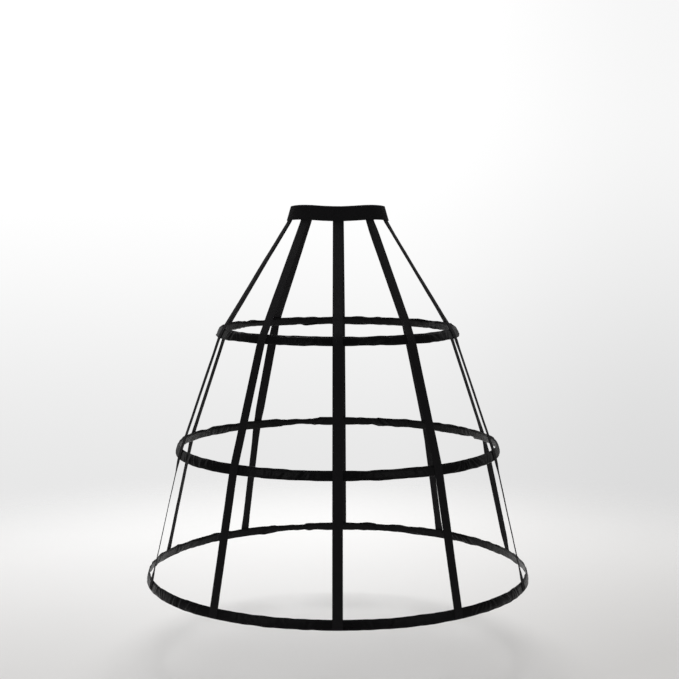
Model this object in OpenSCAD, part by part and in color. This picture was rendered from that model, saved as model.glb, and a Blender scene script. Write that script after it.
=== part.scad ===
// Crinoline cage: three sprung hoops hung on ten tapes from an elastic waistband.
// Millimetres. The origin is the centre of the waist opening at the waistband's mid-height,
// +Z is up and centre front faces -Y. Angles run from centre front towards +X.

/* [Hoops] */
// Diameter of the top hoop, across the middle of its casing
top_hoop_d = 622; // [560:1:700]
// Diameter of the middle hoop, across the middle of its casing
middle_hoop_d = 842; // [760:1:920]
// Diameter of the bottom hoop, across the middle of its casing
bottom_hoop_d = 1000; // [920:1:1200]
// Drop from the middle of the waistband to the top hoop
top_hoop_drop = 306; // [260:1:360]
// Drop from the middle of the waistband to the middle hoop
middle_hoop_drop = 612; // [540:1:680]
// Drop from the middle of the waistband to the bottom hoop
bottom_hoop_drop = 946; // [860:1:1060]

/* [Hoop casings] */
// Height of a casing, edge to edge along its slope
casing_h = 25; // [20:0.5:32]
// Thickness of the folded cloth on each side of a bone
cloth_t = 1.1; // [0.8:0.1:1.6]
// Distance over which a casing's edge rounds off
edge_round = 1.5; // [1:0.1:2.5]
// How far a casing's edges wander between two straps
edge_wander = 1.4; // [0:0.1:2.5]
// How much a casing swells between two straps
cloth_swell = 0.8; // [0:0.1:1.5]
// Share of its thickness that a casing's edge loses between two straps
edge_pinch = 0.5; // [0:0.05:0.7]
// Soft gathers in a casing between two straps
gathers = 3; // [1:1:4]

/* [Hoop bones] */
// Height of the flat bone in each casing
bone_h = 8; // [5:0.5:10]
// Thickness of the bone
bone_t = 0.8; // [0.6:0.1:1.4]
// Gap between the two ends of a bone, inside its sleeve
bone_gap = 2; // [0.5:0.5:6]
// Clearance between a bone or sleeve and the cloth around it
bone_clearance = 0.3; // [0.1:0.05:0.6]

/* [Joining sleeves] */
// Length of the sleeve that joins the two ends of a bone
sleeve_l = 40; // [25:1:60]
// Wall of the sleeve
sleeve_wall = 0.5; // [0.3:0.1:0.8]
// Clearance between the sleeve and the bone in it
sleeve_clearance = 0.1; // [0.05:0.05:0.2]

/* [Straps] */
// Width of a strap
strap_w = 25; // [15:0.5:35]
// Thickness of a strap
strap_t = 1; // [0.6:0.1:2]
// Length of strap sewn behind the waistband, from its lower edge upwards
strap_tuck = 30; // [15:1:36]
// Distance from a strap's lower end to the lower edge of the bottom casing
strap_end_margin = 2; // [0.5:0.5:8]
// How far the straps at the diagonals move towards the sides on the waistband, in degrees
strap_spread = 4; // [0:0.5:6]
// Clearance between layers that are sewn together
layer_gap = 0.3; // [0.2:0.05:0.5]

/* [Waistband] */
// Width of the waist opening at mid-height
waist_w = 252; // [210:1:320]
// Depth of the waist opening at mid-height, front to back
waist_d = 200; // [160:1:280]
// Height of the waistband
waistband_h = 38; // [37:1:60]
// Thickness of the waistband
waistband_t = 1.8; // [1:0.1:3]
// How much the waistband widens on each side from its upper to its lower edge
waistband_flare = 11; // [0:0.5:16]
// How far the waistband dips at front, back and sides
waistband_dip = 1.8; // [0:0.1:3]
// Length over which the waistband's ends lap at centre back
lap_l = 34; // [20:1:60]

/* [Hidden] */
STRAPS = [
    "strap_front", "strap_front_right", "strap_right_front", "strap_right_back", "strap_back_right",
    "strap_back", "strap_back_left", "strap_left_back", "strap_left_front", "strap_front_left"
];
LEVELS = ["top", "middle", "bottom"];

TAPE_BLACK = [0.05, 0.05, 0.06];
SATIN_BLACK = [0.08, 0.08, 0.09];
ELASTIC_BLACK = [0.06, 0.06, 0.07];
STEEL_GREY = [0.62, 0.63, 0.65];
BRASS = [0.74, 0.62, 0.36];

// Even spacing of the straps, and how far each was sewn from it, in degrees
strap_count = len(STRAPS);
strap_drift = [0, -1.2, -2, 1.5, -0.7, -1.4, -2.5, -1.5, 0.5, 0];
strap_angle = [for (i = [0 : strap_count - 1]) i * 360 / strap_count + strap_drift[i]];

// Places across a strap's width, from its left edge to its right edge
strap_facets = 4;
strap_columns = [for (step = [0 : strap_facets]) (step / strap_facets - 0.5) * strap_w];

hoop_r = [top_hoop_d / 2, middle_hoop_d / 2, bottom_hoop_d / 2];
hoop_z = [-top_hoop_drop, -middle_hoop_drop, -bottom_hoop_drop];

// Slope of the straps above each hoop, from upright
waist_bottom_z = -waistband_h / 2;
waist_bottom_r = (waist_w + waist_d) / 4 + waistband_flare / 2;
slope_above = [
    atan2(hoop_r[0] - waist_bottom_r, waist_bottom_z - hoop_z[0]),
    atan2(hoop_r[1] - hoop_r[0], hoop_z[0] - hoop_z[1]),
    atan2(hoop_r[2] - hoop_r[1], hoop_z[1] - hoop_z[2])
];

// A casing halves the bend of its straps, and the bottom one carries their slope on
hoop_tilt = [
    (slope_above[0] + slope_above[1]) / 2,
    (slope_above[1] + slope_above[2]) / 2,
    slope_above[2]
];

sleeve_t = bone_t + 2 * (sleeve_clearance + sleeve_wall);
sleeve_h = bone_h + 2 * (sleeve_clearance + sleeve_wall);
channel_t = bone_t + 2 * bone_clearance;
channel_h = bone_h + 2 * bone_clearance;
chamber_t = sleeve_t + 2 * bone_clearance;
chamber_h = sleeve_h + 2 * bone_clearance;
chamber_l = sleeve_l + 2 * bone_clearance;
casing_t = channel_t + 2 * cloth_t;

// At its bone's joint a casing is drawn in round the sleeve
join_t = chamber_t + 2 * cloth_t;
join_core_h = chamber_h + 2 * cloth_t;
join_margin = 2 * edge_round;
join_h = join_core_h + 2 * join_margin;
join_ramp = 40;

// Bay between two straps in which each bone is joined, and the share of the bay before the joint
join_bay = [6, 5, 5];
join_place = [0.4, 0.5, 0.5];
join_angle = [
    for (h = [0 : len(LEVELS) - 1])
        let (first = strap_angle[join_bay[h]], last = strap_angle[join_bay[h] + 1])
        first + join_place[h] * (last - first)
];

// Phase steps from bay to bay and from hoop to hoop, in degrees, so that no two gathers are alike
upper_phase = [137, 60];
lower_phase = [222, 100];
swell_phase = 80;

casing_steps = 14;
waist_steps = 72;
ring_facets = 180;
bone_edge_facets = 24;
lap_step = 0.4;

function smooth(x) = let (c = min(1, max(0, x))) c * c * (3 - 2 * c);
function degrees(arc, r) = arc / r * 180 / PI;
function ring_point(angle, r, z) = [r * sin(angle), -r * cos(angle), z];

// Side faces between rows of points, where every row is a closed outline
function side_faces(rows, cols, ring) = [
    for (i = [0 : rows - (ring ? 1 : 2)], j = [0 : cols - 1])
        let (
            k = (i + 1) % rows,
            a = i * cols + j,
            b = i * cols + (j + 1) % cols,
            c = k * cols + (j + 1) % cols,
            d = k * cols + j
        )
        each [[a, b, c], [a, c, d]]
];

// End faces of a band, whose outline runs out along one side and back along the other
function end_faces(rows, cols) = [
    for (j = [0 : cols / 2 - 2])
        let (e = (rows - 1) * cols, back = cols - 1 - j)
        each [
            [j, back, back - 1], [j, back - 1, j + 1],
            [e + j, e + back - 1, e + back], [e + j, e + j + 1, e + back - 1]
        ]
];

// Solid through rows of points, closed on itself as a ring or ended as a band
module loft(rows, ring) {
    row_count = len(rows);
    cols = len(rows[0]);
    points = [for (row = rows) each row];
    ends = ring ? [] : end_faces(row_count, cols);
    polyhedron(points, concat(side_faces(row_count, cols, ring), ends), convexity = 10);
}

// Point on the waist, offset outwards from the face that the straps are sewn to
function waist_half_w(z) = waist_w / 2 - waistband_flare * z / waistband_h;
function waist_half_d(z) = waist_d / 2 - waistband_flare * z / waistband_h;
function waist_point(angle, z, out) =
    let (
        a = waist_half_w(z),
        b = waist_half_d(z),
        normal = [b * sin(angle), -a * cos(angle)],
        away = out * normal / norm(normal)
    )
    [a * sin(angle) + away.x, away.y - b * cos(angle), z - waistband_dip * cos(4 * angle)];

// Degrees of waist angle for a length along the waistband
function waist_degrees(arc, angle) =
    degrees(arc, norm([waist_w / 2 * cos(angle), waist_d / 2 * sin(angle)]));

// Outline across the waistband, doubled outwards where its ends lap
function waistband_row(angle, layers) = [
    waist_point(angle, -waistband_h / 2, 0),
    waist_point(angle, -waistband_h / 2, layers * waistband_t),
    waist_point(angle, waistband_h / 2, layers * waistband_t),
    waist_point(angle, waistband_h / 2, 0)
];

module waistband() {
    half_lap = waist_degrees(lap_l / 2, 180);
    single = [
        for (i = [0 : waist_steps])
            waistband_row(180 + half_lap + i * (360 - 2 * half_lap) / waist_steps, 1)
    ];
    doubled = [
        for (share = [-1, 0, 1])
            waistband_row(180 + share * (half_lap - lap_step), 2)
    ];
    color(ELASTIC_BLACK)
        loft(concat(single, doubled), ring = true);
}

// Point on a hoop's casing: up its slope by s, and out from its middle by n
function casing_point(h, angle, s, n) =
    let (
        r = hoop_r[h] - s * sin(hoop_tilt[h]) + n * cos(hoop_tilt[h]),
        z = hoop_z[h] + s * cos(hoop_tilt[h]) + n * sin(hoop_tilt[h])
    )
    ring_point(angle, r, z);

// How far a casing is drawn in round its sleeve, from 0 to 1
function join_share(h, angle) =
    let (
        from_joint = abs(angle - join_angle[h]) * PI / 180 * hoop_r[h],
        step = hoop_r[h] * 2 * PI / strap_count / casing_steps
    )
    1 - smooth((from_joint - chamber_l / 2 - step) / join_ramp);

// Outline across a casing, flat under a strap and soft between two straps
function casing_row(h, bay, share) =
    let (
        next = bay + 1 < strap_count ? strap_angle[bay + 1] : strap_angle[0] + 360,
        angle = strap_angle[bay] + share * (next - strap_angle[bay]),
        join = join_share(h, angle),
        loose = pow(sin(180 * share), 2),
        wave = 360 * gathers * share,
        wander = (1 - join) * edge_wander * loose,
        half_h = (casing_h + join * (join_h - casing_h)) / 2,
        up = half_h + wander * sin(wave + upper_phase * [bay, h]),
        down = half_h + wander * sin(wave + lower_phase * [bay, h]),
        core = (channel_h + join * (chamber_h - channel_h)) / 2 + cloth_t,
        swell = cloth_swell * loose * pow(sin(wave / 2 + swell_phase * bay), 2),
        belly = (casing_t + join * (join_t - casing_t) + swell) / 2,
        edge = casing_t / 2 * (1 - edge_pinch * loose),
        outline = [
            [-down, 0], [edge_round - down, edge], [-core, belly], [core, belly], [up - edge_round, edge],
            [up, 0], [up - edge_round, -edge], [core, -belly], [-core, -belly], [edge_round - down, -edge]
        ]
    )
    [for (p = outline) casing_point(h, angle, p.x, p.y)];

// Outline turned round the hoop's axis at the slope of its casing, over an arc of the hoop
module hoop_arc(h, from, arc) {
    rotate([0, 0, from - 90])
        rotate_extrude(angle = arc, $fn = ring_facets)
            translate([hoop_r[h], hoop_z[h]])
                rotate(hoop_tilt[h])
                    children();
}

// Outline with half-round edges
module flat_outline(t, h) {
    square([t, h - t], center = true);
    for (side = [-1, 1])
        translate([0, side * (h - t) / 2])
            circle(d = t, $fn = bone_edge_facets);
}

module hoop_casing(h) {
    chamber_arc = degrees(chamber_l, hoop_r[h]);
    color(SATIN_BLACK)
        difference() {
            loft(
                [
                    for (bay = [0 : strap_count - 1], step = [0 : casing_steps - 1])
                        casing_row(h, bay, step / casing_steps)
                ],
                ring = true
            );
            hoop_arc(h, join_angle[h], 360)
                square([channel_t, channel_h], center = true);
            hoop_arc(h, join_angle[h] - chamber_arc / 2, chamber_arc)
                square([chamber_t, chamber_h], center = true);
        }
}

module hoop_bone(h) {
    gap_arc = degrees(bone_gap, hoop_r[h]);
    color(STEEL_GREY)
        hoop_arc(h, join_angle[h] + gap_arc / 2, 360 - gap_arc)
            flat_outline(bone_t, bone_h);
}

module bone_sleeve(h) {
    sleeve_arc = degrees(sleeve_l, hoop_r[h]);
    color(BRASS)
        hoop_arc(h, join_angle[h] - sleeve_arc / 2, sleeve_arc)
            difference() {
                flat_outline(sleeve_t, sleeve_h);
                flat_outline(sleeve_t - 2 * sleeve_wall, sleeve_h - 2 * sleeve_wall);
            }
}

// Rows across a strap: its outer face from left to right, then its inner face back again
function strap_waist_row(i, z) =
    let (angle = strap_angle[i] + strap_spread * sin(2 * strap_angle[i]))
    concat(
        [for (c = strap_columns) waist_point(angle + waist_degrees(c, angle), z, -layer_gap)],
        [for (c = -strap_columns) waist_point(angle + waist_degrees(c, angle), z, -layer_gap - strap_t)]
    );
function strap_hoop_row(i, h, s) =
    let (seat = casing_t / 2 + layer_gap)
    concat(
        [for (c = strap_columns) casing_point(h, strap_angle[i] + degrees(c, hoop_r[h]), s, seat + strap_t)],
        [for (c = -strap_columns) casing_point(h, strap_angle[i] + degrees(c, hoop_r[h]), s, seat)]
    );

// A strap runs behind the waistband and down over the outer face of each casing
module strap(i) {
    color(TAPE_BLACK)
        loft(
            [
                strap_waist_row(i, waist_bottom_z + strap_tuck),
                strap_waist_row(i, waist_bottom_z - layer_gap),
                strap_hoop_row(i, 0, casing_h / 2),
                strap_hoop_row(i, 0, -casing_h / 2),
                strap_hoop_row(i, 1, casing_h / 2),
                strap_hoop_row(i, 1, -casing_h / 2),
                strap_hoop_row(i, 2, casing_h / 2),
                strap_hoop_row(i, 2, strap_end_margin - casing_h / 2)
            ],
            ring = false
        );
}

waistband();
for (i = [0 : strap_count - 1])
    strap(i);
for (h = [0 : len(LEVELS) - 1]) {
    hoop_casing(h);
    hoop_bone(h);
    bone_sleeve(h);
}
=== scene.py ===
# %% [markdown]
# # A crinoline cage
# A crinoline cage is a skirt made of air: sprung hoops, sewn into satin casings, hang on flat tapes from
# an elastic waistband. Nothing in it is a solid block, so this lesson models it as what it is, which is
# strips of cloth laid along rules: rings, straight drops and rows of stitches. Geometry Nodes suit that
# well. Each cloth piece starts as a flat grid, and a short formula says where each point of it goes.

# %% Load the frame
import math

import bpy
import numpy as np
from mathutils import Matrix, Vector


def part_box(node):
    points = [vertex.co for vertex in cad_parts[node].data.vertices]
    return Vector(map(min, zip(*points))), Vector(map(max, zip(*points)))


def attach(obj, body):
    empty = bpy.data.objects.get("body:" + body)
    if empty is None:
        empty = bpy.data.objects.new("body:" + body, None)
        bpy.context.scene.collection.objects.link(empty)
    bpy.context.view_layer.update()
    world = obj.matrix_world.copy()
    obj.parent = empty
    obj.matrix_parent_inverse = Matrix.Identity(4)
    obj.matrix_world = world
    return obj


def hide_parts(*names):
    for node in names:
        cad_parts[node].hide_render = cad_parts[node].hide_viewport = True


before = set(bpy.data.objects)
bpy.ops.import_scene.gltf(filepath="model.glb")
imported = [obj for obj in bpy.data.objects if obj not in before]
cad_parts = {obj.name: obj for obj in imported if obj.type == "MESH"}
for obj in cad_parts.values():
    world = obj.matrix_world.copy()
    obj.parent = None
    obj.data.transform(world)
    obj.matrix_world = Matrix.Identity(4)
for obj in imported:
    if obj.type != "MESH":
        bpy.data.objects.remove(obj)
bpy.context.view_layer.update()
BODY = "root"

# %% [markdown]
# ## What the frame already knows
# The hoops and straps already have their places in the construction model. They could be typed in again,
# but then a changed model would no longer fit its cloth, so they are measured from it. A hoop is read from
# its flat bone: the middle of its radius, the middle of its height, and the slope of its section, which is
# the slope of the casing around it. Only the widths and thicknesses of cloth are written down as values.

# %% Measure the hoops
LEVELS = ("top", "middle", "bottom")
TURN = 2 * math.pi


def node_points(name):
    """Corner points of a node of the frame, one row each."""
    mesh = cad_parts[name].data
    flat = np.empty(len(mesh.vertices) * 3, np.float32)
    mesh.vertices.foreach_get("co", flat)
    return flat.reshape(-1, 3).astype(float)


def measure_hoop(level):
    """Radius, height and slope of a hoop."""
    points = node_points(f"hoop_bone_{level}")
    r, z = np.hypot(points[:, 0], points[:, 1]), points[:, 2]
    radius, height = (r.min() + r.max()) / 2, (z.min() + z.max()) / 2
    lean = np.polyfit(z - height, r - radius, 1)[0]
    return {"level": level, "radius": radius, "height": height, "tilt": math.atan(-lean)}


hoops = [measure_hoop(level) for level in LEVELS]
for hoop in hoops:
    print(hoop["level"], "hoop:", {k: round(v, 4) for k, v in hoop.items() if k != "level"})

# %% Measure the straps and the waist
# Thickness of the waistband, and how much it widens on each side from its upper to its lower edge
BAND_T = 0.0018
BAND_FLARE = 0.011
# Length of a strap's end whose middle gives its angle, and how far below zero that angle may be
END_ROW = 0.030
FRONT_SLACK = 0.1


def strap_turn(name):
    """Angle of a strap from centre front towards +X, read from its lower end."""
    points = node_points(name)
    low = points[points[:, 2] < points[:, 2].min() + END_ROW].mean(0)
    return (math.atan2(low[0], -low[1]) + FRONT_SLACK) % TURN - FRONT_SLACK


straps = {name: strap_turn(name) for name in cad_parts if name.startswith("strap_")}
straps = dict(sorted(straps.items(), key=lambda item: item[1]))
band_low, band_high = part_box("waistband")
WAIST_A = band_high.x - BAND_T - BAND_FLARE / 2
WAIST_B = -band_low.y - BAND_T - BAND_FLARE / 2
print("strap angles:", {name: round(math.degrees(turn), 1) for name, turn in straps.items()})
print("waist opening, half width and half depth:", round(WAIST_A, 4), round(WAIST_B, 4))

# %% [markdown]
# ## Two helpers for places
# Every place on the cage is either on the waist oval or on a hoop. A place on a casing is named by its
# angle, its way up the slope and its way out from the casing's middle.

# %% Places on the waist and on a hoop
# Height of the waistband, and how deep and how often its edges dip
BAND_H = 0.038
BAND_DIP = 0.0018
DIPS = 4


def waist_point(turn, z, out):
    """Point on the waist oval, out from the face that the straps are sewn to."""
    a = WAIST_A - BAND_FLARE * z / BAND_H
    b = WAIST_B - BAND_FLARE * z / BAND_H
    normal = np.array([b * math.sin(turn), -a * math.cos(turn), 0.0])
    normal /= np.linalg.norm(normal)
    dip = BAND_DIP * math.cos(DIPS * turn)
    return np.array([a * math.sin(turn), -b * math.cos(turn), z - dip]) + out * normal


def waist_rate(turn):
    """Metres along the waistband for each radian of its angle."""
    return math.hypot(WAIST_A * math.cos(turn), WAIST_B * math.sin(turn))


def casing_point(hoop, turn, up, out):
    """Point on a casing, up its slope and out from its middle."""
    lean, rise = math.sin(hoop["tilt"]), math.cos(hoop["tilt"])
    r = hoop["radius"] - up * lean + out * rise
    return np.array([r * math.sin(turn), -r * math.cos(turn), hoop["height"] + up * rise + out * lean])


print("centre front of the bottom casing:", casing_point(hoops[2], 0, 0, 0).round(4))

# %% [markdown]
# ## Sums written as Python
# Shaders and Geometry Nodes both do their maths with nodes. Wiring those by hand hides the formula, so
# one small class wraps a socket and lets plain Python signs add the nodes: `1 - mask` makes a Subtract.


# %% The wire class
class Wire:
    """A node's output that can stand in Python sums. Every sum adds one Math node."""

    def __init__(self, tree, socket):
        self.tree = tree
        self.socket = socket

    @classmethod
    def node(cls, tree, kind, settings=None, inputs=None, out=0):
        """Add a node: its settings first, then the values or wires of its sockets."""
        made = tree.nodes.new(kind)
        for name, value in (settings or {}).items():
            setattr(made, name, value)
        for key, value in (inputs or {}).items():
            if isinstance(value, Wire):
                tree.links.new(value.socket, made.inputs[key])
            else:
                made.inputs[key].default_value = value
        return cls(tree, made.outputs[out])

    def math(self, operation, *others):
        values = dict(enumerate((self, *others)))
        return Wire.node(self.tree, "ShaderNodeMath", {"operation": operation}, values)

    def __add__(self, other):
        return self.math("ADD", other)

    def __sub__(self, other):
        return self.math("SUBTRACT", other)

    def __rsub__(self, other):
        return Wire.node(self.tree, "ShaderNodeMath", {"operation": "SUBTRACT"}, {0: other, 1: self})

    def __mul__(self, other):
        return self.math("MULTIPLY", other)

    def __truediv__(self, other):
        return self.math("DIVIDE", other)

    def __pow__(self, other):
        return self.math("POWER", other)

    def __neg__(self):
        return self.math("MULTIPLY", -1.0)

    def __abs__(self):
        return self.math("ABSOLUTE")

    __radd__ = __add__
    __rmul__ = __mul__

    def other(self, name):
        """Another output of the same node."""
        return Wire(self.tree, self.socket.node.outputs[name])

    def smooth(self, low, high):
        """0 below low, 1 above high and a soft step between."""
        return Wire.node(
            self.tree,
            "ShaderNodeMapRange",
            {"interpolation_type": "SMOOTHSTEP"},
            {"Value": self, "From Min": low, "From Max": high},
        )


print("Wire is ready")


# %% Vectors, noise and moves
def vector(x, y, z):
    """Three numbers as one vector."""
    tree = next(v.tree for v in (x, y, z) if isinstance(v, Wire))
    return Wire.node(tree, "ShaderNodeCombineXYZ", None, {0: x, 1: y, 2: z})


def noise(place, scale, detail=2.0):
    """Soft random numbers from 0 to 1, the same on every run."""
    inputs = {"Vector": place, "Scale": scale, "Detail": detail}
    return Wire.node(place.tree, "ShaderNodeTexNoise", None, inputs)


def push(base, direction, amount):
    """Base moved along a direction by an amount."""
    step = Wire.node(
        amount.tree, "ShaderNodeVectorMath", {"operation": "SCALE"}, {0: direction, "Scale": amount}
    )
    return Wire.node(amount.tree, "ShaderNodeVectorMath", {"operation": "ADD"}, {0: base, 1: step})


print("vector, noise and push are ready")

# %% [markdown]
# ## Growing a piece from a tree
# Each Geometry Nodes tree has named inputs for its sizes. A modifier knows its inputs only by their
# identifiers, so a helper looks those up. The result is then turned into a plain mesh, because the
# finished piece has to stand by itself, and the modifier is removed.

# %% The tree class
WELD = 0.00001
SOCKETS = {
    "number": "NodeSocketFloat",
    "count": "NodeSocketInt",
    "object": "NodeSocketObject",
    "finish": "NodeSocketMaterial",
}


class Tree:
    """A Geometry Nodes tree with named inputs."""

    def __init__(self, name, **inputs):
        self.group = bpy.data.node_groups.new(name, "GeometryNodeTree")
        self.group.interface.new_socket("Geometry", in_out="OUTPUT", socket_type="NodeSocketGeometry")
        for label, kind in inputs.items():
            self.group.interface.new_socket(label, in_out="INPUT", socket_type=SOCKETS[kind])
        self.source = self.group.nodes.new("NodeGroupInput")

    def input(self, label):
        return Wire(self.group, self.source.outputs[label])

    def node(self, kind, settings=None, inputs=None, out=0):
        return Wire.node(self.group, kind, settings, inputs, out)

    def points_of(self, label):
        """Geometry of the helper object in a named input."""
        return self.node("GeometryNodeObjectInfo", None, {"Object": self.input(label)}).other("Geometry")

    def distance_to(self, label, place):
        """Distance from a place to the nearest point of a helper object."""
        return self.node(
            "GeometryNodeProximity",
            {"target_element": "POINTS"},
            {0: self.points_of(label), "Sample Position": place},
        ).other("Distance")

    def grid(self, columns, rows):
        """A flat grid, with its two shares from 0 to 1 across columns and along rows."""
        sheet = self.node(
            "GeometryNodeMeshGrid",
            None,
            {"Size X": 1.0, "Size Y": 1.0, "Vertices X": columns, "Vertices Y": rows},
        )
        place = self.node("ShaderNodeSeparateXYZ", None, {0: self.node("GeometryNodeInputPosition")})
        return sheet, place + 0.5, place.other("Y") + 0.5

    def lay(self, sheet, place, u, v):
        """Move a grid's points to their places and keep u and v as its UV map."""
        marked = self.node(
            "GeometryNodeStoreNamedAttribute",
            {"data_type": "FLOAT2", "domain": "CORNER"},
            {"Geometry": sheet, "Name": "UVMap", "Value": vector(u, v, 0.0)},
        )
        return self.node("GeometryNodeSetPosition", None, {"Geometry": marked, "Position": place})

    def close(self, *sheets):
        """Join sheets, weld their edges, and end the tree with a smooth, finished mesh."""
        joined = self.group.nodes.new("GeometryNodeJoinGeometry")
        for sheet in sheets:
            self.group.links.new(sheet.socket, joined.inputs[0])
        whole = {"Geometry": Wire(self.group, joined.outputs[0]), "Distance": WELD}
        welded = self.node("GeometryNodeMergeByDistance", None, whole)
        soft = self.node("GeometryNodeSetShadeSmooth", None, {"Geometry": welded})
        self.finish(soft)

    def finish(self, geometry):
        """Realize instances, set the finish, and send the geometry out."""
        real = self.node("GeometryNodeRealizeInstances", None, {"Geometry": geometry})
        done = self.node(
            "GeometryNodeSetMaterial", None, {"Geometry": real, "Material": self.input("Finish")}
        )
        output = self.group.nodes.new("NodeGroupOutput")
        self.group.links.new(done.socket, output.inputs["Geometry"])


print("kinds of tree input:", list(SOCKETS))


# %% Grow a piece from a tree
def place_object(name, mesh):
    """A new object at the origin."""
    made = bpy.data.objects.new(name, mesh)
    bpy.context.scene.collection.objects.link(made)
    return made


def helper_points(name, points, **marks):
    """Loose points with vector or number marks, for a tree to read."""
    mesh = bpy.data.meshes.new(name)
    mesh.from_pydata([tuple(p) for p in points], [], [])
    for label, values in marks.items():
        values = np.asarray(values, np.float32)
        kind, key = ("FLOAT_VECTOR", "vector") if values.ndim == 2 else ("FLOAT", "value")
        mesh.attributes.new(label, kind, "POINT").data.foreach_set(key, values.ravel())
    return place_object(name, mesh)


def grow(name, tree, **inputs):
    """A plain mesh piece, grown by a tree from its named inputs."""
    piece = place_object(name, bpy.data.meshes.new(name))
    modifier = piece.modifiers.new("grow", "NODES")
    modifier.node_group = tree.group
    for item in tree.group.interface.items_tree:
        if item.in_out == "INPUT":
            modifier[item.identifier] = inputs[item.name]
    graph = bpy.context.evaluated_depsgraph_get()
    mesh = bpy.data.meshes.new_from_object(piece.evaluated_get(graph))
    piece.modifiers.clear()
    piece.data = mesh
    mesh.name = name
    triangles = sum(len(face.vertices) - 2 for face in mesh.polygons)
    print(f"{name}: {len(mesh.vertices)} points, {triangles} triangles")
    return piece


def drop(*helpers):
    """Remove helper objects that only a tree needed."""
    for helper in helpers:
        bpy.data.objects.remove(helper)


print("piece helpers are ready")

# %% [markdown]
# ## Black cloth is four different blacks
# The waistband, tapes, satin and thread are all black, and they tell themselves apart by how they take the
# light. Elastic is ribbed and dull, tape is matt with a fine cross rib, satin has long smooth floats that
# shine, and thread has a small bright twist. So each finish varies its colour and roughness a little and
# gets its weave as bump, on a UV map that is measured in metres.


# %% Start a finish
def start_finish(name, specular):
    """A material with its main shader, whose gloss is set on the shader's own socket."""
    material = bpy.data.materials.new(name)
    material.use_nodes = True
    shader = material.node_tree.nodes["Principled BSDF"]
    shader.inputs["Specular IOR Level"].default_value = specular
    return material, shader


def feed(shader, **wires):
    """Link wires to the shader's sockets."""
    for label, wire in wires.items():
        wire.tree.links.new(wire.socket, shader.inputs[label.replace("_", " ")])


def uv_metres(material):
    """The two UV coordinates, in metres along and across the piece."""
    tree = material.node_tree
    uv = Wire.node(tree, "ShaderNodeUVMap", {"uv_map": "UVMap"})
    return Wire.node(tree, "ShaderNodeSeparateXYZ", None, {0: uv})


def tint(amount, dark, light):
    """A colour between dark and light."""
    return Wire.node(
        amount.tree,
        "ShaderNodeMix",
        {"data_type": "RGBA"},
        {0: amount, 6: (*dark, 1), 7: (*light, 1)},
        out=2,
    )


def bump(height, strength, distance):
    """A normal from a height."""
    return Wire.node(
        height.tree, "ShaderNodeBump", None, {"Strength": strength, "Distance": distance, "Height": height}
    )


print("finish helpers are ready")

# %% The tape's finish
CLOTH_DARK = (0.0060, 0.0056, 0.0064)
CLOTH_LIGHT = (0.0130, 0.0122, 0.0134)
RIB_PITCH = 0.0011
YARN_PITCH = 0.0007


def tape_finish():
    """Matt woven tape: fine ribs from edge to edge, crossed by close warp yarns."""
    material, shader = start_finish("tape_black", specular=0.10)
    along = uv_metres(material)
    across = along.other("Y")
    rib = (along * (TURN / RIB_PITCH)).math("SINE")
    yarn = (across * (TURN / YARN_PITCH)).math("SINE")
    weave = rib * 0.6 + yarn * rib * 0.4
    patch = noise(vector(along, across, 0.0), scale=60.0, detail=4.0)
    fuzz = noise(vector(along, across, 1.0), scale=1500.0)
    feed(
        shader,
        Base_Color=tint(patch * 0.7 + weave * 0.12 + 0.1, CLOTH_DARK, CLOTH_LIGHT),
        Roughness=0.62 + patch * 0.16 + weave * 0.05,
        Normal=bump(weave * 0.5 + fuzz * 0.4, strength=0.5, distance=0.00022),
    )
    return material


tape_black = tape_finish()
print("tape finish:", len(tape_black.node_tree.nodes), "nodes")

# %% The satin's finish
SATIN_DARK = (0.0020, 0.0019, 0.0021)
SATIN_LIGHT = (0.0056, 0.0052, 0.0059)
FLOAT_PITCH = 0.00045


def satin_finish():
    """Satin: long floats along the casing that shine, broken by fine slubs and soft creases."""
    material, shader = start_finish("satin_black", specular=0.09)
    along = uv_metres(material)
    across = along.other("Y")
    float_line = (across * (TURN / FLOAT_PITCH)).math("SINE")
    slub = noise(vector(along * 0.12, across, 0.0), scale=900.0)
    crease = noise(vector(along, across * 0.7, 2.0), scale=150.0, detail=4.0)
    patch = noise(vector(along, across, 4.0), scale=35.0, detail=3.0)
    feed(
        shader,
        Base_Color=tint(patch * 0.6 + slub * 0.4, SATIN_DARK, SATIN_LIGHT),
        Roughness=0.20 + patch * 0.10 + slub * 0.08,
        Normal=bump(crease + slub * 0.15 + float_line * 0.04, strength=0.6, distance=0.0010),
    )
    return material


satin_black = satin_finish()
print("satin finish:", len(satin_black.node_tree.nodes), "nodes")

# %% The elastic's finish
COVER_PITCH = 0.0009


def elastic_finish():
    """Woven elastic: close upright cover yarns over the lengthwise rubber ribs."""
    material, shader = start_finish("elastic_black", specular=0.10)
    along = uv_metres(material)
    across = along.other("Y")
    cover = (along * (TURN / COVER_PITCH)).math("SINE")
    patch = noise(vector(along, across, 0.0), scale=45.0, detail=3.0)
    fuzz = noise(vector(along, across, 3.0), scale=1400.0)
    feed(
        shader,
        Base_Color=tint(patch * 0.7 + cover * 0.1 + 0.1, CLOTH_DARK, CLOTH_LIGHT),
        Roughness=0.60 + patch * 0.15,
        Normal=bump(cover * 0.4 + fuzz * 0.4, strength=0.5, distance=0.0002),
    )
    return material


elastic_black = elastic_finish()
print("elastic finish:", len(elastic_black.node_tree.nodes), "nodes")

# %% The thread's, steel's and brass's finishes
THREAD_DARK = (0.0030, 0.0028, 0.0032)
THREAD_LIGHT = (0.0080, 0.0076, 0.0084)


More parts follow.
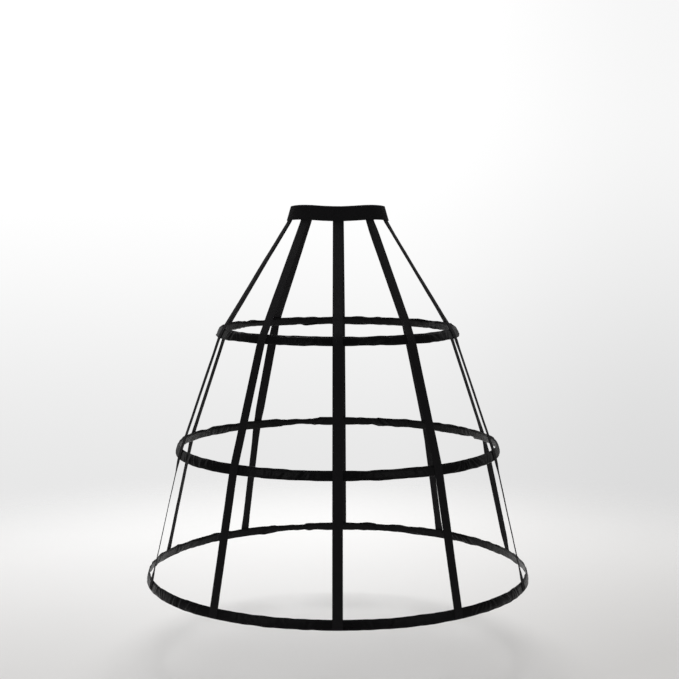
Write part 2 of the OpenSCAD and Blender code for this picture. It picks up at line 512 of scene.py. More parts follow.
def thread_finish():
    """Polyester thread: smooth and a little brighter than the cloth."""
    material, shader = start_finish("thread_black", specular=0.15)
    place = Wire.node(material.node_tree, "ShaderNodeTexCoord", None, None, out="Object")
    patch = noise(place, scale=900.0)
    feed(
        shader,
        Base_Color=tint(patch, THREAD_DARK, THREAD_LIGHT),
        Roughness=0.38 + patch * 0.2,
    )
    return material


def metal_finish(name, dark, light, rough):
    """Drawn strip metal: bright, with fine marks along the strip and small dull spots."""
    material, shader = start_finish(name, specular=0.5)
    shader.inputs["Metallic"].default_value = 1.0
    place = Wire.node(material.node_tree, "ShaderNodeTexCoord", None, None, out="Object")
    spots = noise(place, scale=70.0, detail=4.0)
    lines = noise(place, scale=2500.0)
    feed(
        shader,
        Base_Color=tint(spots, dark, light),
        Roughness=rough + spots * 0.18 + lines * 0.08,
        Normal=bump(lines, strength=0.15, distance=0.0001),
    )
    return material


thread_black = thread_finish()
drawn_steel = metal_finish("drawn_steel", (0.42, 0.43, 0.45), (0.62, 0.63, 0.65), rough=0.24)
drawn_brass = metal_finish("drawn_brass", (0.58, 0.45, 0.22), (0.80, 0.66, 0.38), rough=0.28)
finishes = (tape_black, satin_black, elastic_black, thread_black, drawn_steel, drawn_brass)
print("finishes:", [finish.name for finish in finishes])

# %% [markdown]
# ## The satin casings
# A casing is a strip of satin folded round the bone and stitched along one edge, so its section is a
# flat tube with a thin flange. Where a strap crosses it is sewn flat. Between straps the cloth is a
# little longer than the bone, so its edges wander and flop and its face creases on the slant.
# A cloth simulation would find such folds too, but slowly and differently at each try. A formula on a
# grid gives them at once, and the distance to the nearest strap says how loose the cloth is.
# The tree makes the tube's outer wall and its inner wall, because real cloth has two faces.

# %% The casing tree
# Height of a casing and width of the straps that cross it, in metres
CASING_H = 0.025
STRAP_W = 0.025
# Where the cloth comes loose beside a strap, and where the joint draws it in
LOOSE_FROM = 0.002
LOOSE_OVER = 0.050
JOIN_FROM = 0.030
JOIN_OVER = 0.040
# Half height of the bone's channel, thickness of the satin, and the flange with its step
CORE = 0.0048
CLOTH = 0.0005
FLANGE = 0.0040
FLANGE_THIN = 0.55
STEP_BELOW = 0.0016
STEP_ABOVE = 0.0004
# Power of the section's outline, flat under a strap and rounder where it is loose
FLAT_POWER = 8.0
SOFT_POWER = 2.8
# How far loose cloth moves, in metres
EDGE_FLOP = 0.0120
EDGE_WANDER = 0.0105
PUCKER = 0.0005
CREASE = 0.0040
DEEPEST = -0.0007
# Shares of the height that it loses or gains, and shares of its movement that calmer places keep
DRAW_IN = 0.22
FULLER = 0.10
CALM_FRONT = 0.42
CORE_SHARE = 0.35
SEWN_SHARE = 0.35
CREASE_SHARE = 0.25
# How steep its folds are: the creases' slant and ridges, and the way a flop grows to the edge
SLANT = 5.0
RIDGE = 4.0
FLOP_POWER = 1.3
# Soft steps from front to back, from plain to gathered and from smooth to creased
BACKWARD = (-0.5, 0.5)
GATHERED = (0.5, 0.85)
CREASED = (0.35, 0.65)
# How quickly a noise changes up the section, and from one face or edge to the other
UP_CHANGE = 20.0
CREASE_UP = 0.25
FACE_SHIFT = 0.2
EDGE_SHIFT = 0.3
# Changes per metre of each kind of movement
GATHER_SCALE = 22.0
FLOP_SCALE = 22.0
WANDER_SCALE = 28.0
CREASE_SCALE = 48.0
SLANT_SCALE = 12.0
PATCH_SCALE = 16.0
PUCKER_SCALE = 120.0

casing_tree = Tree(
    "satin_casing",
    Radius="number",
    Drop="number",
    Tilt="number",
    Height="number",
    Thickness="number",
    Join_Height="number",
    Join_Thickness="number",
    Straps="object",
    Joint="object",
    Steps="count",
    Round="count",
    Ruffle="number",
    Seed="number",
    Finish="finish",
)
print("inputs of the casing tree:", len(casing_tree.source.outputs) - 1)


# %% One wall of a casing
def casing_wall(tree, inner):
    """One wall of a casing's tube: the outer one, or the inner one a cloth's thickness in."""
    radius, tilt, seed = tree.input("Radius"), tree.input("Tilt"), tree.input("Seed")
    inset = CLOTH if inner else 0.0
    round_steps = tree.input("Round") * (0.5 if inner else 1.0)
    sheet, share, ring = tree.grid(tree.input("Steps") + 1, round_steps + 1)
    turn, section = share * TURN, ring * TURN
    x, y = turn.math("SINE"), -turn.math("COSINE")
    hoop_place = vector(x * radius, y * radius, tree.input("Drop"))
    near = tree.distance_to("Straps", hoop_place)
    loose = near.smooth(STRAP_W / 2 + LOOSE_FROM, STRAP_W / 2 + LOOSE_FROM + LOOSE_OVER)
    ruffle = loose * tree.input("Ruffle") * (CALM_FRONT + y.smooth(*BACKWARD) * (1 - CALM_FRONT))
    join = 1 - tree.distance_to("Joint", hoop_place).smooth(JOIN_FROM, JOIN_FROM + JOIN_OVER)
    free = loose * (1 - join)

    def round_noise(scale, shift):
        """Noise that changes only round the hoop. The shift sets it apart from the others."""
        return noise(vector(x * radius, y * radius, seed + shift), scale, detail=0.0)

    gather = round_noise(GATHER_SCALE, shift=7.0).smooth(*GATHERED)

    def half_size(plain, joined):
        """Half of a size that changes towards the joint."""
        return (tree.input(plain) + join * (tree.input(joined) - tree.input(plain))) * 0.5

    half = half_size("Height", "Join_Height")
    half = half * (1 + (x * x * FULLER - gather * ruffle * DRAW_IN) * (1 - join))
    thick = half_size("Thickness", "Join_Thickness")

    level = section.math("COSINE")
    side = section.math("SINE").math("SIGN")
    power = FLAT_POWER - loose * (FLAT_POWER - SOFT_POWER)
    belly = (1 - abs(level) ** power).math("MAXIMUM", 0.0).math("SQRT")
    top = half - FLANGE if inner else half
    bottom = half - inset
    up = level * (top + bottom) * 0.5 + (top - bottom) * 0.5
    flange = 1 - up.smooth(half - FLANGE - STEP_BELOW, half - FLANGE + STEP_ABOVE) * FLANGE_THIN

    edge = (abs(up) - CORE).math("MAXIMUM", 0.0) / (half - CORE)
    along = vector(x * radius, y * radius, up * UP_CHANGE + seed)
    flop = (noise(along, FLOP_SCALE, detail=0.2) - 0.5) * ruffle * (edge ** FLOP_POWER) * EDGE_FLOP
    spread_out = CORE_SHARE + edge * (1 - CORE_SHARE)
    wander = (noise(along, WANDER_SCALE, detail=0.8) - 0.5) * ruffle * EDGE_WANDER * spread_out
    slanted = turn + up * (round_noise(SLANT_SCALE, shift=11.0) - 0.5) * SLANT / radius
    crease_place = vector(
        slanted.math("SINE") * radius,
        -slanted.math("COSINE") * radius,
        up * CREASE_UP + side * FACE_SHIFT + seed,
    )
    patchy = round_noise(PATCH_SCALE, shift=15.0).smooth(*CREASED)
    crease = 0.5 - abs(noise(crease_place, CREASE_SCALE, detail=1.5) - 0.5) * RIDGE
    crease = crease * (CREASE_SHARE + patchy * (1 - CREASE_SHARE))
    pucker_place = vector(x * radius, y * radius, level.math("SIGN") * EDGE_SHIFT + seed)
    pucker = (noise(pucker_place, PUCKER_SCALE, detail=0.0) - 0.5) * edge * PUCKER
    pucker = pucker * (SEWN_SHARE + loose * (1 - SEWN_SHARE))
    swell = (crease * free * belly * CREASE).math("MAXIMUM", DEEPEST)

    out = side * belly * ((thick - inset) * flange + swell) + flop + pucker
    height = up + wander
    lean, rise = tilt.math("SINE"), tilt.math("COSINE")
    r = radius - height * lean + out * rise
    place = vector(x * r, y * r, tree.input("Drop") + height * rise + out * lean)
    wall = tree.lay(sheet, place, turn * radius, ring * CASING_H * 2)
    return wall if not inner else tree.node("GeometryNodeFlipFaces", None, {"Mesh": wall})


casing_tree.close(casing_wall(casing_tree, False), casing_wall(casing_tree, True))
print("casing tree:", len(casing_tree.group.nodes), "nodes")

# %% Grow the casings
CASING_T = 0.0036
CASING_SEED_STEP = 3.7
CASING_PITCH = 0.0026
CASING_ROUND = 34
RUFFLES = (1.1, 0.8, 0.8)
JOIN_H = 0.0186
JOIN_T = 0.0050
EASE = 1.02
casings = []
for number, hoop in enumerate(hoops):
    level, radius = hoop["level"], hoop["radius"]
    joint = node_points(f"bone_sleeve_{level}").mean(0)
    strap_marks = helper_points("strap_marks", [casing_point(hoop, turn, 0, 0) for turn in straps.values()])
    joint_mark = helper_points("joint_mark", [joint])
    casing = grow(
        f"satin_casing_{level}",
        casing_tree,
        Radius=radius,
        Drop=hoop["height"],
        Tilt=hoop["tilt"],
        Height=CASING_H,
        Thickness=CASING_T,
        Join_Height=JOIN_H,
        Join_Thickness=JOIN_T,
        Straps=strap_marks,
        Joint=joint_mark,
        Steps=round(TURN * radius / CASING_PITCH),
        Round=CASING_ROUND,
        Ruffle=RUFFLES[number],
        Seed=CASING_SEED_STEP * number,
        Finish=satin_black,
    )
    drop(strap_marks, joint_mark)
    casings.append(casing)
    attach(casing, BODY)
    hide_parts(f"hoop_casing_{level}")
    TURN * radius * EASE

# %% [markdown]
# ## The tapes
# A tape hangs in straight runs: behind the waistband, over the outer face of each casing, and down to the
# next. A bevelled curve could sweep it, but a curve turns its section by a rule of its own. So the path is
# worked out once as a row of points that also carry the direction across the tape, and a tree sweeps the
# tape's section along them. The bends are eased a little, because woven tape does not fold sharply. Some
# tapes hang with a slight twist, and the ends taper to nothing in half a millimetre, as a sealed cut does.

# %% The corners of a tape's path
STRAP_T = 0.0010
STRAP_TUCK = 0.030
STRAP_END = 0.002
STRAP_SPREAD = math.radians(4)
LAYER_GAP = 0.0003
SEAT = CASING_T / 2 + LAYER_GAP + STRAP_T / 2


def spread(turn):
    """Angle on the waistband of a strap that has this angle on the hoops."""
    return turn + STRAP_SPREAD * math.sin(2 * turn)


def tape_rows(turn):
    """Corner points of a tape's path, with the direction across the tape and its bow at each."""
    at_waist = spread(turn)
    tangent = np.array([WAIST_A * math.cos(at_waist), WAIST_B * math.sin(at_waist), 0.0])
    bow = WAIST_A * WAIST_B / np.linalg.norm(tangent) ** 3 / 2
    tangent /= np.linalg.norm(tangent)
    across = np.array([math.cos(turn), math.sin(turn), 0.0])
    low_edge = -BAND_H / 2
    rows = [
        (waist_point(at_waist, low_edge + STRAP_TUCK, -LAYER_GAP - STRAP_T / 2), tangent, bow),
        (waist_point(at_waist, low_edge - LAYER_GAP, -LAYER_GAP - STRAP_T / 2), tangent, bow),
    ]
    for number, hoop in enumerate(hoops):
        end = -CASING_H / 2 + (STRAP_END if number == len(hoops) - 1 else 0.0)
        for up in (CASING_H / 2, end):
            rows.append((casing_point(hoop, turn, up, SEAT), across, 0.5 / hoop["radius"]))
    return rows


print("corners of a tape's path:", len(tape_rows(0.0)))

# %% The path of a tape
PATH_PITCH = 0.004
EASE_STEPS = 2
TOUCH = 0.000001
TWIST_OVER = 0.045
NO_TWIST = (0.0, 0.0, 0.0)
# Degrees that a tape is turned above the top, the middle and the bottom hoop
TWISTS = {
    "strap_front_right": (14.0, 0.0, 0.0),
    "strap_right_front": (-5.0, -5.5, -10.0),
    "strap_right_back": (4.0, 4.0, -13.0),
    "strap_back_right": (0.0, 0.0, 9.0),
    "strap_back_left": (0.0, 16.0, -9.0),
    "strap_left_back": (0.0, -2.5, -4.0),
    "strap_left_front": (0.0, 1.5, 11.0),
}


def tape_slack(steps, reach):
    """How free a tape is at each step: 0 where it is sewn down, and 1 well away from that."""
    nearest = np.abs(steps[:, None] - reach[None, :]).min(1)
    sewn = np.zeros(len(steps), bool)
    for first, last in zip(reach[::2], reach[1::2]):
        sewn |= (steps >= first - TOUCH) & (steps <= last + TOUCH)
    return np.where(sewn, 0.0, np.clip(nearest / TWIST_OVER, 0, 1))


def tape_twist(name, steps, reach, slack):
    """Angle by which a tape is turned at each step."""
    span = np.minimum(np.searchsorted(reach[3::2], steps), len(hoops) - 1)
    return np.radians(TWISTS.get(name, NO_TWIST))[span] * slack * slack * (3 - 2 * slack)


def tape_path(name, turn):
    """Close points along a tape, with its cross direction, outward direction, bow, slack and end taper."""
    rows = tape_rows(turn)
    corners = np.array([row[0] for row in rows])
    reach = np.concatenate([[0], np.cumsum(np.linalg.norm(np.diff(corners, axis=0), axis=1))])
    steps = np.linspace(0, reach[-1], round(reach[-1] / PATH_PITCH) + 1)
    steps = np.insert(steps, [1, len(steps) - 1], [STRAP_T / 2, reach[-1] - STRAP_T / 2])
    points = np.stack([np.interp(steps, reach, corners[:, k]) for k in range(3)], 1)
    across = np.stack([np.interp(steps, reach, [row[1][k] for row in rows]) for k in range(3)], 1)
    bows = np.interp(steps, reach, [row[2] for row in rows])
    eased = points.copy()
    for k in range(EASE_STEPS, len(points) - EASE_STEPS):
        eased[k] = points[k - EASE_STEPS : k + EASE_STEPS + 1].mean(0)
    run = np.gradient(eased, axis=0)
    out = np.cross(run, across)
    out /= np.linalg.norm(out, axis=1)[:, None]
    across /= np.linalg.norm(across, axis=1)[:, None]
    slack = tape_slack(steps, reach)
    twist = tape_twist(name, steps, reach, slack)[:, None]
    across, out = across * np.cos(twist) + out * np.sin(twist), out * np.cos(twist) - across * np.sin(twist)
    taper = np.ones(len(steps))
    taper[[0, -1]] = 0.0
    return eased, {"across": across, "out": out, "bow": bows, "slack": slack, "taper": taper, "reach": steps}


front_path, front_marks = tape_path("strap_front", straps["strap_front"])
print("front tape:", round(front_marks["reach"][-1], 4), "m long,", len(front_path), "rows")

# %% The tape tree
TAPE_POWER = 40
SELVEDGE = 0.0018
SELVEDGE_RISE = 0.22
SELVEDGE_TOP = 0.4
ROLL = 0.10
FLUTTER = 0.0005
RIM_SHIFT = 0.7
SWAY_SCALE = 9.0
ROLL_SCALE = 5.0
FLUTTER_SCALE = 26.0

tape_tree = Tree(
    "flat_tape",
    Path="object",
    Width="number",
    Thickness="number",
    Slack="number",
    Round="count",
    Seed="number",
    Finish="finish",
)


def tape_sheet(tree):
    """A tape's skin: its section loops round each point of the path."""
    path = tree.points_of("Path")
    size = tree.node("GeometryNodeAttributeDomainSize", {"component": "MESH"}, {"Geometry": path})
    sheet, ring, share = tree.grid(tree.input("Round") + 1, size)
    row = tree.node("FunctionNodeFloatToInt", {"rounding_mode": "ROUND"}, {0: share * (size - 1)})

    def read(label, kind):
        if label == "position":
            value = tree.node("GeometryNodeInputPosition")
        else:
            value = tree.node("GeometryNodeInputNamedAttribute", {"data_type": kind}, {"Name": label})
        return tree.node(
            "GeometryNodeSampleIndex", {"data_type": kind}, {"Geometry": path, "Value": value, "Index": row}
        )

    spot, across, out = (read(label, "FLOAT_VECTOR") for label in ("position", "across", "out"))
    bow, slack, taper, reach = (read(label, "FLOAT") for label in ("bow", "slack", "taper", "reach"))
    section = ring * TURN
    level = section.math("COSINE")
    side = section.math("SINE").math("SIGN")
    half = tree.input("Width") * 0.5
    wide = level * half
    rim = abs(wide).smooth(half - SELVEDGE, half - SELVEDGE * SELVEDGE_TOP)
    edge = (1 - abs(level) ** TAPE_POWER).math("MAXIMUM", 0.0).math("SQRT")
    body = tree.input("Thickness") * 0.5 * edge * (1 + rim * SELVEDGE_RISE) * taper
    seed = tree.input("Seed")
    place = vector(reach, seed, 0.0)
    sway = (noise(place, SWAY_SCALE) - 0.5) * slack * tree.input("Slack") * 2
    roll = (noise(place, ROLL_SCALE) - 0.5) * slack * ROLL
    edge_place = vector(reach, level.math("SIGN") * RIM_SHIFT + seed, 3.0)
    flutter = (noise(edge_place, FLUTTER_SCALE) - 0.5) * rim * FLUTTER
    rise = side * body - wide * wide * bow + sway + roll * wide + flutter * slack
    placed = push(push(spot, across, wide), out, rise)
    return tree.lay(sheet, placed, reach, wide)


tape_tree.close(tape_sheet(tape_tree))
print("tape tree:", len(tape_tree.group.nodes), "nodes")

# %% Sweep the tapes
TAPE_SLACK = 0.0008
TAPE_ROUND = 30
TAPE_SEED_STEP = 1.9
tapes = {}
for number, (name, turn) in enumerate(straps.items()):
    points, marks = tape_path(name, turn)
    path = helper_points("tape_path", points, **marks)
    tape = grow(
        name.replace("strap", "tape"),
        tape_tree,
        Path=path,
        Width=STRAP_W,
        Thickness=STRAP_T,
        Slack=TAPE_SLACK,
        Round=TAPE_ROUND,
        Seed=TAPE_SEED_STEP * number,
        Finish=tape_black,
    )
    drop(path)
    tapes[name] = tape
    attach(tape, BODY)
    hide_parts(name)

# %% [markdown]
# ## The waistband
# Wide woven elastic has fine ribs along its length, where the rubber strands lie, and soft edges. The loop
# widens a little towards the hips, and its two ends lap at centre back, where it is twice as thick. A ring
# with a thickness would miss the lap, so again a grid is wrapped round the waist by a formula.

# %% The waistband tree
RIBS = 22
RIB_RISE = 0.00022
RIB_FADE = 12
BAND_POWER = 60
BAND_WAVE = 0.0004
WAVE_SCALE = 9.0
WAVE_UP = 8.0
SAG_SCALE = 7.0
LAP_EDGE = 0.0016

band_tree = Tree(
    "elastic_band",
    Half_Width="number",
    Half_Depth="number",
    Height="number",
    Thickness="number",
    Flare="number",
    Dip="number",
    Lap="number",
    Steps="count",
    Round="count",
    Finish="finish",
)


def band_sheet(tree):
    """The waistband's skin, looped round its flat section."""
    sheet, share, ring = tree.grid(tree.input("Steps") + 1, tree.input("Round") + 1)
    turn = share * TURN
    x, y = turn.math("SINE"), -turn.math("COSINE")
    level = (ring * 2 - 1).math("ABSOLUTE") * 2 - 1
    side = (ring - 0.5).math("SIGN")
    height = tree.input("Height")
    z = level * height * 0.5
    a = tree.input("Half_Width") - tree.input("Flare") * z / height
    b = tree.input("Half_Depth") - tree.input("Flare") * z / height
    normal_x, normal_y = x * b, y * a
    length = (normal_x * normal_x + normal_y * normal_y).math("SQRT")
    from_back = abs(turn - math.pi) * tree.input("Half_Width")
    lap = 1 - from_back.smooth(tree.input("Lap") * 0.5 - LAP_EDGE, tree.input("Lap") * 0.5)
    edge = (1 - abs(level) ** BAND_POWER).math("MAXIMUM", 0.0).math("SQRT")
    rib = (level * (math.pi * RIBS)).math("COSINE") * RIB_RISE * (1 - abs(level) ** RIB_FADE)
    thick = tree.input("Thickness")
    wave = (noise(vector(x, y, z * WAVE_UP), WAVE_SCALE) - 0.5) * BAND_WAVE
    middle = thick * (1 + lap) * 0.5
    out = middle + side * edge * (middle + rib - RIB_RISE) + wave
    dip = (turn * DIPS).math("COSINE") * tree.input("Dip")
    sag = (noise(vector(x, y, 5.0), SAG_SCALE) - 0.5) * BAND_WAVE * 2
    place = vector(
        x * a + out * normal_x / length,
        y * b + out * normal_y / length,
        z - dip + sag,
    )
    return tree.lay(sheet, place, turn * tree.input("Half_Width"), z)


band_tree.close(band_sheet(band_tree))
print("band tree:", len(band_tree.group.nodes), "nodes")

# %% Wrap the waistband
LAP_L = 0.034
BAND_STEPS = 330
BAND_ROUND = 154
LOOP_POINTS = 721
band = grow(
    "elastic_waistband",
    band_tree,
    Half_Width=WAIST_A,
    Half_Depth=WAIST_B,
    Height=BAND_H,
    Thickness=BAND_T,
    Flare=BAND_FLARE,
    Dip=BAND_DIP,
    Lap=LAP_L,
    Steps=BAND_STEPS,
    Round=BAND_ROUND,
    Finish=elastic_black,
)
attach(band, BODY)
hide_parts("waistband")
angles = np.linspace(0, TURN, LOOP_POINTS)
loop = np.array([waist_point(turn, 0, BAND_T / 2) for turn in angles])

# %% [markdown]
# ## The stitching
# Thread is what holds the cage together: a line along each casing's flange, a crossed box where a tape
# meets a casing, a box at each tape's top and rows down the waistband's lap. A bump could draw the thread,
# but it goes flat in a close view. All of it is the same small stitch laid along a path, so one tree does
# it: it cuts the path into equal steps, drops each step onto the cloth and turns a low bead of thread
# along the path.

# %% The stitch tree
BEAD_SIDES = 5
BEAD_RINGS = 3
BEAD_SHARE = 0.44
BEAD_FLAT = 0.8

stitch_tree = Tree(
    "stitches",
    Path="object",
    Cloth="object",
    Pitch="number",
    Thread="number",
    Finish="finish",
)


def stitches(tree):
    """Beads of thread along a path, lying on a cloth."""
    pitch, thread = tree.input("Pitch"), tree.input("Thread")
    curve = tree.node("GeometryNodeMeshToCurve", None, {0: tree.points_of("Path")})
    steps = tree.node("GeometryNodeCurveToPoints", {"mode": "LENGTH"}, {0: curve, "Length": pitch})
    spot = tree.node("GeometryNodeInputPosition")
    cloth = tree.points_of("Cloth")

    def on_cloth(value):
        return tree.node(
            "GeometryNodeSampleNearestSurface",
            {"data_type": "FLOAT_VECTOR"},
            {"Mesh": cloth, "Value": value, "Sample Position": spot},
        )

    laid = tree.node("GeometryNodeSetPosition", None, {0: steps, "Position": on_cloth(spot)})
    upright = tree.node(
        "FunctionNodeAlignRotationToVector",
        {"axis": "Z"},
        {"Vector": on_cloth(tree.node("GeometryNodeInputNormal"))},
    )
    turned = tree.node(
        "FunctionNodeAlignRotationToVector",
        {"axis": "X", "pivot_axis": "Z"},
        {"Rotation": upright, "Vector": steps.other("Tangent")},
    )
    ball = {"Segments": BEAD_SIDES, "Rings": BEAD_RINGS, "Radius": 1.0}
    bead = tree.node("GeometryNodeMeshUVSphere", None, ball)
    size = vector(pitch * BEAD_SHARE, thread, thread * BEAD_FLAT)
    placed = tree.node(
        "GeometryNodeInstanceOnPoints",
        None,
        {"Points": laid, "Instance": bead, "Rotation": turned, "Scale": size},
    )
    soft = tree.node("GeometryNodeSetShadeSmooth", None, {"Geometry": placed})
    tree.finish(soft)


stitches(stitch_tree)
print("stitch tree:", len(stitch_tree.group.nodes), "nodes")

# %% Lines and boxes
BOX_STEPS = 4


def line(first, last, place, steps=BOX_STEPS):
    """A straight run in two coordinates, turned into places."""
    share = np.linspace(0, 1, steps + 1)
    return [place(*(np.asarray(first) * (1 - t) + np.asarray(last) * t)) for t in share]


def box(half_w, low, high, place, crossed):
    """A sewn box, with its two diagonals if it is crossed."""
    a, b, c, d = (-half_w, low), (half_w, low), (half_w, high), (-half_w, high)
    runs = [line(a, b, place), line(b, c, place), line(c, d, place), line(d, a, place)]
    return runs + ([line(a, c, place), line(b, d, place)] if crossed else [])


def path_object(runs):
    """A helper object made of open runs of points."""
    points, edges = [], []
    for run in runs:
        edges += [(len(points) + k, len(points) + k + 1) for k in range(len(run) - 1)]
        points += [tuple(p) for p in run]
    mesh = bpy.data.meshes.new("stitch_path")
    mesh.from_pydata(points, edges, [])
    return place_object("stitch_path", mesh)


print("a crossed box has", len(box(1, 0, 1, lambda u, v: (u, v, 0), crossed=True)), "runs")

# %% Stitches on the casings
SEAM_IN = 0.0034
SEAM_STEP = math.radians(0.5)
BOX_IN = 0.0028


def seam_runs(hoop):
    """The flange seam: in bays between the tapes on the outer face, and all round on the inner face."""
    up = CASING_H / 2 - SEAM_IN
    clear = (STRAP_W / 2 + LOOSE_FROM) / hoop["radius"]
    turns = list(straps.values())
    runs = []
    for first, last in zip(turns, turns[1:] + [turns[0] + TURN]):
        bay = np.arange(first + clear, last - clear, SEAM_STEP)
        runs.append([casing_point(hoop, turn, up, CASING_T / 2) for turn in bay])
    whole = np.arange(0, TURN + SEAM_STEP / 2, SEAM_STEP)
    runs.append([casing_point(hoop, turn, up, -CASING_T / 2) for turn in whole])
    return runs


def crossing_runs(hoop, turn, out):
    """The crossed box where a tape meets a casing, on the face that is so far out."""
    high = CASING_H / 2 - BOX_IN

    def place(across, up):
        return casing_point(hoop, turn + across / hoop["radius"], up, out)

    return box(STRAP_W / 2 - BOX_IN, -high, high, place, crossed=True)


print("seam runs on the top hoop:", len(seam_runs(hoops[0])))


# %% Stitches on the waistband
def waist_runs(turn, out):
    """The box at a tape's top."""
    at_waist = spread(turn)

    def place(across, z):
        return waist_point(at_waist + across / waist_rate(at_waist), z, out)

    low = -BAND_H / 2 + BOX_IN
    return box(STRAP_W / 2 - BOX_IN, low, -BAND_H / 2 + STRAP_TUCK - BOX_IN, place, crossed=False)


def lap_runs(out):
    """Rows down the waistband's lap at centre back."""
    high = BAND_H / 2 - BOX_IN

    def place(across, z):
        return waist_point(math.pi + across / waist_rate(math.pi), z, out)

    return [line((x, -high), (x, high), place) for x in (-LAP_L / 2 + BOX_IN, LAP_L / 2 - BOX_IN)]


print("rows down the lap:", len(lap_runs(0.0)))

# %% Lay the stitches
STITCH = 0.0030
THREAD_R = 0.00032
FACE = CASING_T / 2 + LAYER_GAP + STRAP_T


def joined_copy(pieces):
    """A helper object with the faces of several pieces."""
    points, faces = [], []
    for piece in pieces:
        start = len(points)
        points += [tuple(v.co) for v in piece.data.vertices]
        faces += [tuple(start + k for k in face.vertices) for face in piece.data.polygons]
    mesh = bpy.data.meshes.new("joined")
    mesh.from_pydata(points, [], faces)
    return place_object("joined", mesh)


def sew(name, runs, cloth):
    """A piece of stitching along runs on a cloth."""
    path = path_object(runs)
    piece = grow(
        name, stitch_tree, Path=path, Cloth=cloth, Pitch=STITCH, Thread=THREAD_R, Finish=thread_black
    )
    drop(path)
    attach(piece, BODY)


all_tapes = joined_copy(tapes.values())
on_tapes = [run for hoop in hoops for turn in straps.values() for run in crossing_runs(hoop, turn, FACE)]
on_tapes += [run for turn in straps.values() for run in waist_runs(turn, -LAYER_GAP - STRAP_T)]
sew("stitches_tapes", on_tapes, all_tapes)
drop(all_tapes)
for hoop, casing in zip(hoops, casings):
    on_casing = seam_runs(hoop)
    on_casing += [run for turn in straps.values() for run in crossing_runs(hoop, turn, -CASING_T / 2)]
    sew(f"stitches_casing_{hoop['level']}", on_casing, casing)
on_band = [run for turn in straps.values() for run in waist_runs(turn, BAND_T)]
on_band += lap_runs(2 * BAND_T) + lap_runs(0.0)
sew("stitches_waistband", on_band, band)

# %% [markdown]
# ## The bones and their sleeves
# Inside each casing a flat steel strip is bent to a ring, and a short sleeve joins its ends. They are the
# construction model's own solids. They only need their finish.

# %% Finish the inner pieces
for level in LEVELS:
    for name, finish in ((f"hoop_bone_{level}", drawn_steel), (f"bone_sleeve_{level}", drawn_brass)):
        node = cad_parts[name]
        node.data.materials.clear()
        node.data.materials.append(finish)
print("bones and sleeves are finished")

# %% [markdown]
# ## Camera, floor and light
# The view is the photograph's: a long lens at waist height, looking slightly down at the front. The cage
# hangs clear of a plain pale floor, whose colour carries painted shade that darkens it in front and towards
# the right, and which fades into white surroundings at its rim. Black satin shows what it mirrors, so only
# the camera sees those surroundings at full strength. To the cloth they are dim in front and brighter
# behind, which keeps the front dark and lights the ends of the hoops.

# %% Camera
CAMERA_PLACE = (0.0045, -3.617, 0.014)
CAMERA_DOWN = math.radians(5.45)
CAMERA_LENS = 73.4
CAMERA_SENSOR = 36
scene = bpy.context.scene
camera = bpy.data.objects.new("camera", bpy.data.cameras.new("camera"))
scene.collection.objects.link(camera)
camera.location = CAMERA_PLACE
camera.rotation_euler = (math.pi / 2 - CAMERA_DOWN, 0, 0)
camera.data.lens = CAMERA_LENS
camera.data.sensor_width = CAMERA_SENSOR
scene.camera = camera
print("camera at", CAMERA_PLACE, "with a lens of", CAMERA_LENS, "mm")

# %% Floor
FLOOR_Z = -1.146
FLOOR_R = 2.5
FLOOR_FADE = 1.2
FLOOR_SIDES = 96
# Tones of the paper: the darker one is painted shade and the lighter one is painted light
FLOOR_PAINTED_SHADE = (0.64, 0.63, 0.62)
FLOOR_PAINTED_LIGHT = (0.92, 0.915, 0.91)
# Painted light and shade in the paper's colour: where it turns paler towards the back, and where it darkens
# towards the right
PAINTED_LIGHT_FROM = -1.3
PAINTED_LIGHT_TO = 1.5
PAINTED_SHADE_FROM = -0.2
PAINTED_SHADE_TO = 1.2
PAINTED_SHADE = 0.50
rim = [TURN * k / FLOOR_SIDES for k in range(FLOOR_SIDES)]
floor_mesh = bpy.data.meshes.new("floor")
floor_mesh.from_pydata(
    [(FLOOR_R * math.cos(a), FLOOR_R * math.sin(a), FLOOR_Z) for a in rim], [], [tuple(range(FLOOR_SIDES))]
)
floor = place_object("floor", floor_mesh)
floor_paper, paper_shader = start_finish("floor_paper", specular=0.1)
paper_place = Wire.node(floor_paper.node_tree, "ShaderNodeTexCoord", None, None, out="Object")
paper_patch = noise(paper_place, scale=1.5)
from_middle = Wire.node(
    floor_paper.node_tree,
    "ShaderNodeVectorMath",
    {"operation": "DISTANCE"},
    {0: paper_place, 1: (0, 0, FLOOR_Z)},
    out="Value",
)
spot = Wire.node(floor_paper.node_tree, "ShaderNodeSeparateXYZ", None, {0: paper_place})
# Painted shade on the floor: darker in front and towards the right, lighter towards the back
painted_floor_light = spot.other("Y").smooth(PAINTED_LIGHT_FROM, PAINTED_LIGHT_TO) - spot.smooth(PAINTED_SHADE_FROM, PAINTED_SHADE_TO) * PAINTED_SHADE
feed(
    paper_shader,
    Base_Color=tint(painted_floor_light + paper_patch * 0.05, FLOOR_PAINTED_SHADE, FLOOR_PAINTED_LIGHT),
    Roughness=0.7 + paper_patch * 0.1,
    Alpha=1 - from_middle.smooth(FLOOR_R - FLOOR_FADE, FLOOR_R),
)
floor.data.materials.append(floor_paper)
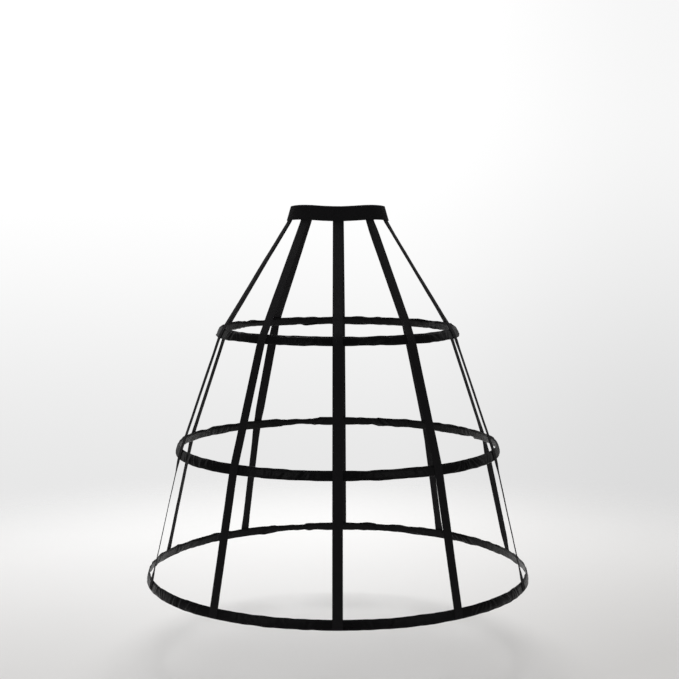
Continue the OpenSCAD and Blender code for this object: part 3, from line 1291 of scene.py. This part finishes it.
print("floor:", FLOOR_R, "m in radius, at height", FLOOR_Z)

# %% Surroundings
# Strength that the cloth sees in front and behind
DIM_FRONT = 0.15
BRIGHT_BACK = 0.33
# Strength that the camera sees, which rises above the floor and dulls towards the right
SKY_LOW = 0.80
SKY_RISE = 0.25
SKY_DULL = 0.12
# Soft steps upwards, to the right and to the back, on a direction of length one
UPWARD = (-0.22, 0.08)
RIGHTWARD = (0.02, 0.24)
FARWARD = (0.25, 0.65)
world = bpy.data.worlds.new("studio")
world.use_nodes = True
sky_tree = world.node_tree
view_way = Wire.node(sky_tree, "ShaderNodeTexCoord", None, None, out="Generated")
way = Wire.node(sky_tree, "ShaderNodeSeparateXYZ", None, {0: view_way})
glow = SKY_LOW + way.other("Z").smooth(*UPWARD) * SKY_RISE
shade = 1 - way.smooth(*RIGHTWARD) * SKY_DULL
seen = Wire.node(sky_tree, "ShaderNodeLightPath", None, None, out="Is Camera Ray")
around = DIM_FRONT + way.other("Y").smooth(*FARWARD) * (BRIGHT_BACK - DIM_FRONT)
strength = glow * shade * (seen + (1 - seen) * around)
sky_tree.links.new(strength.socket, sky_tree.nodes["Background"].inputs["Strength"])
sky_tree.nodes["Background"].inputs["Color"].default_value = (1.0, 1.0, 1.0, 1)
scene.world = world
scene.view_settings.view_transform = "Standard"
print("surroundings:", len(sky_tree.nodes), "nodes")

# %% Lights
# Place, aim, size in metres and power in watts
LIGHTS = {
    "overhead": ((0.0, 2.6, 4.2), (0, 0.0, -1.1), 3.6, 300),
    "key_left": ((-2.4, -2.6, 0.6), (0, 0, -0.6), 2.0, 22),
    "key_right": ((2.4, -2.6, 0.6), (0, 0, -0.6), 2.0, 19),
}
for name, (place, aim, size, power) in LIGHTS.items():
    lamp = bpy.data.objects.new(name, bpy.data.lights.new(name, "AREA"))
    scene.collection.objects.link(lamp)
    lamp.location = place
    lamp.rotation_euler = (Vector(aim) - Vector(place)).to_track_quat("-Z", "Y").to_euler()
    lamp.data.size = size
    lamp.data.energy = power
print("lights:", list(LIGHTS))
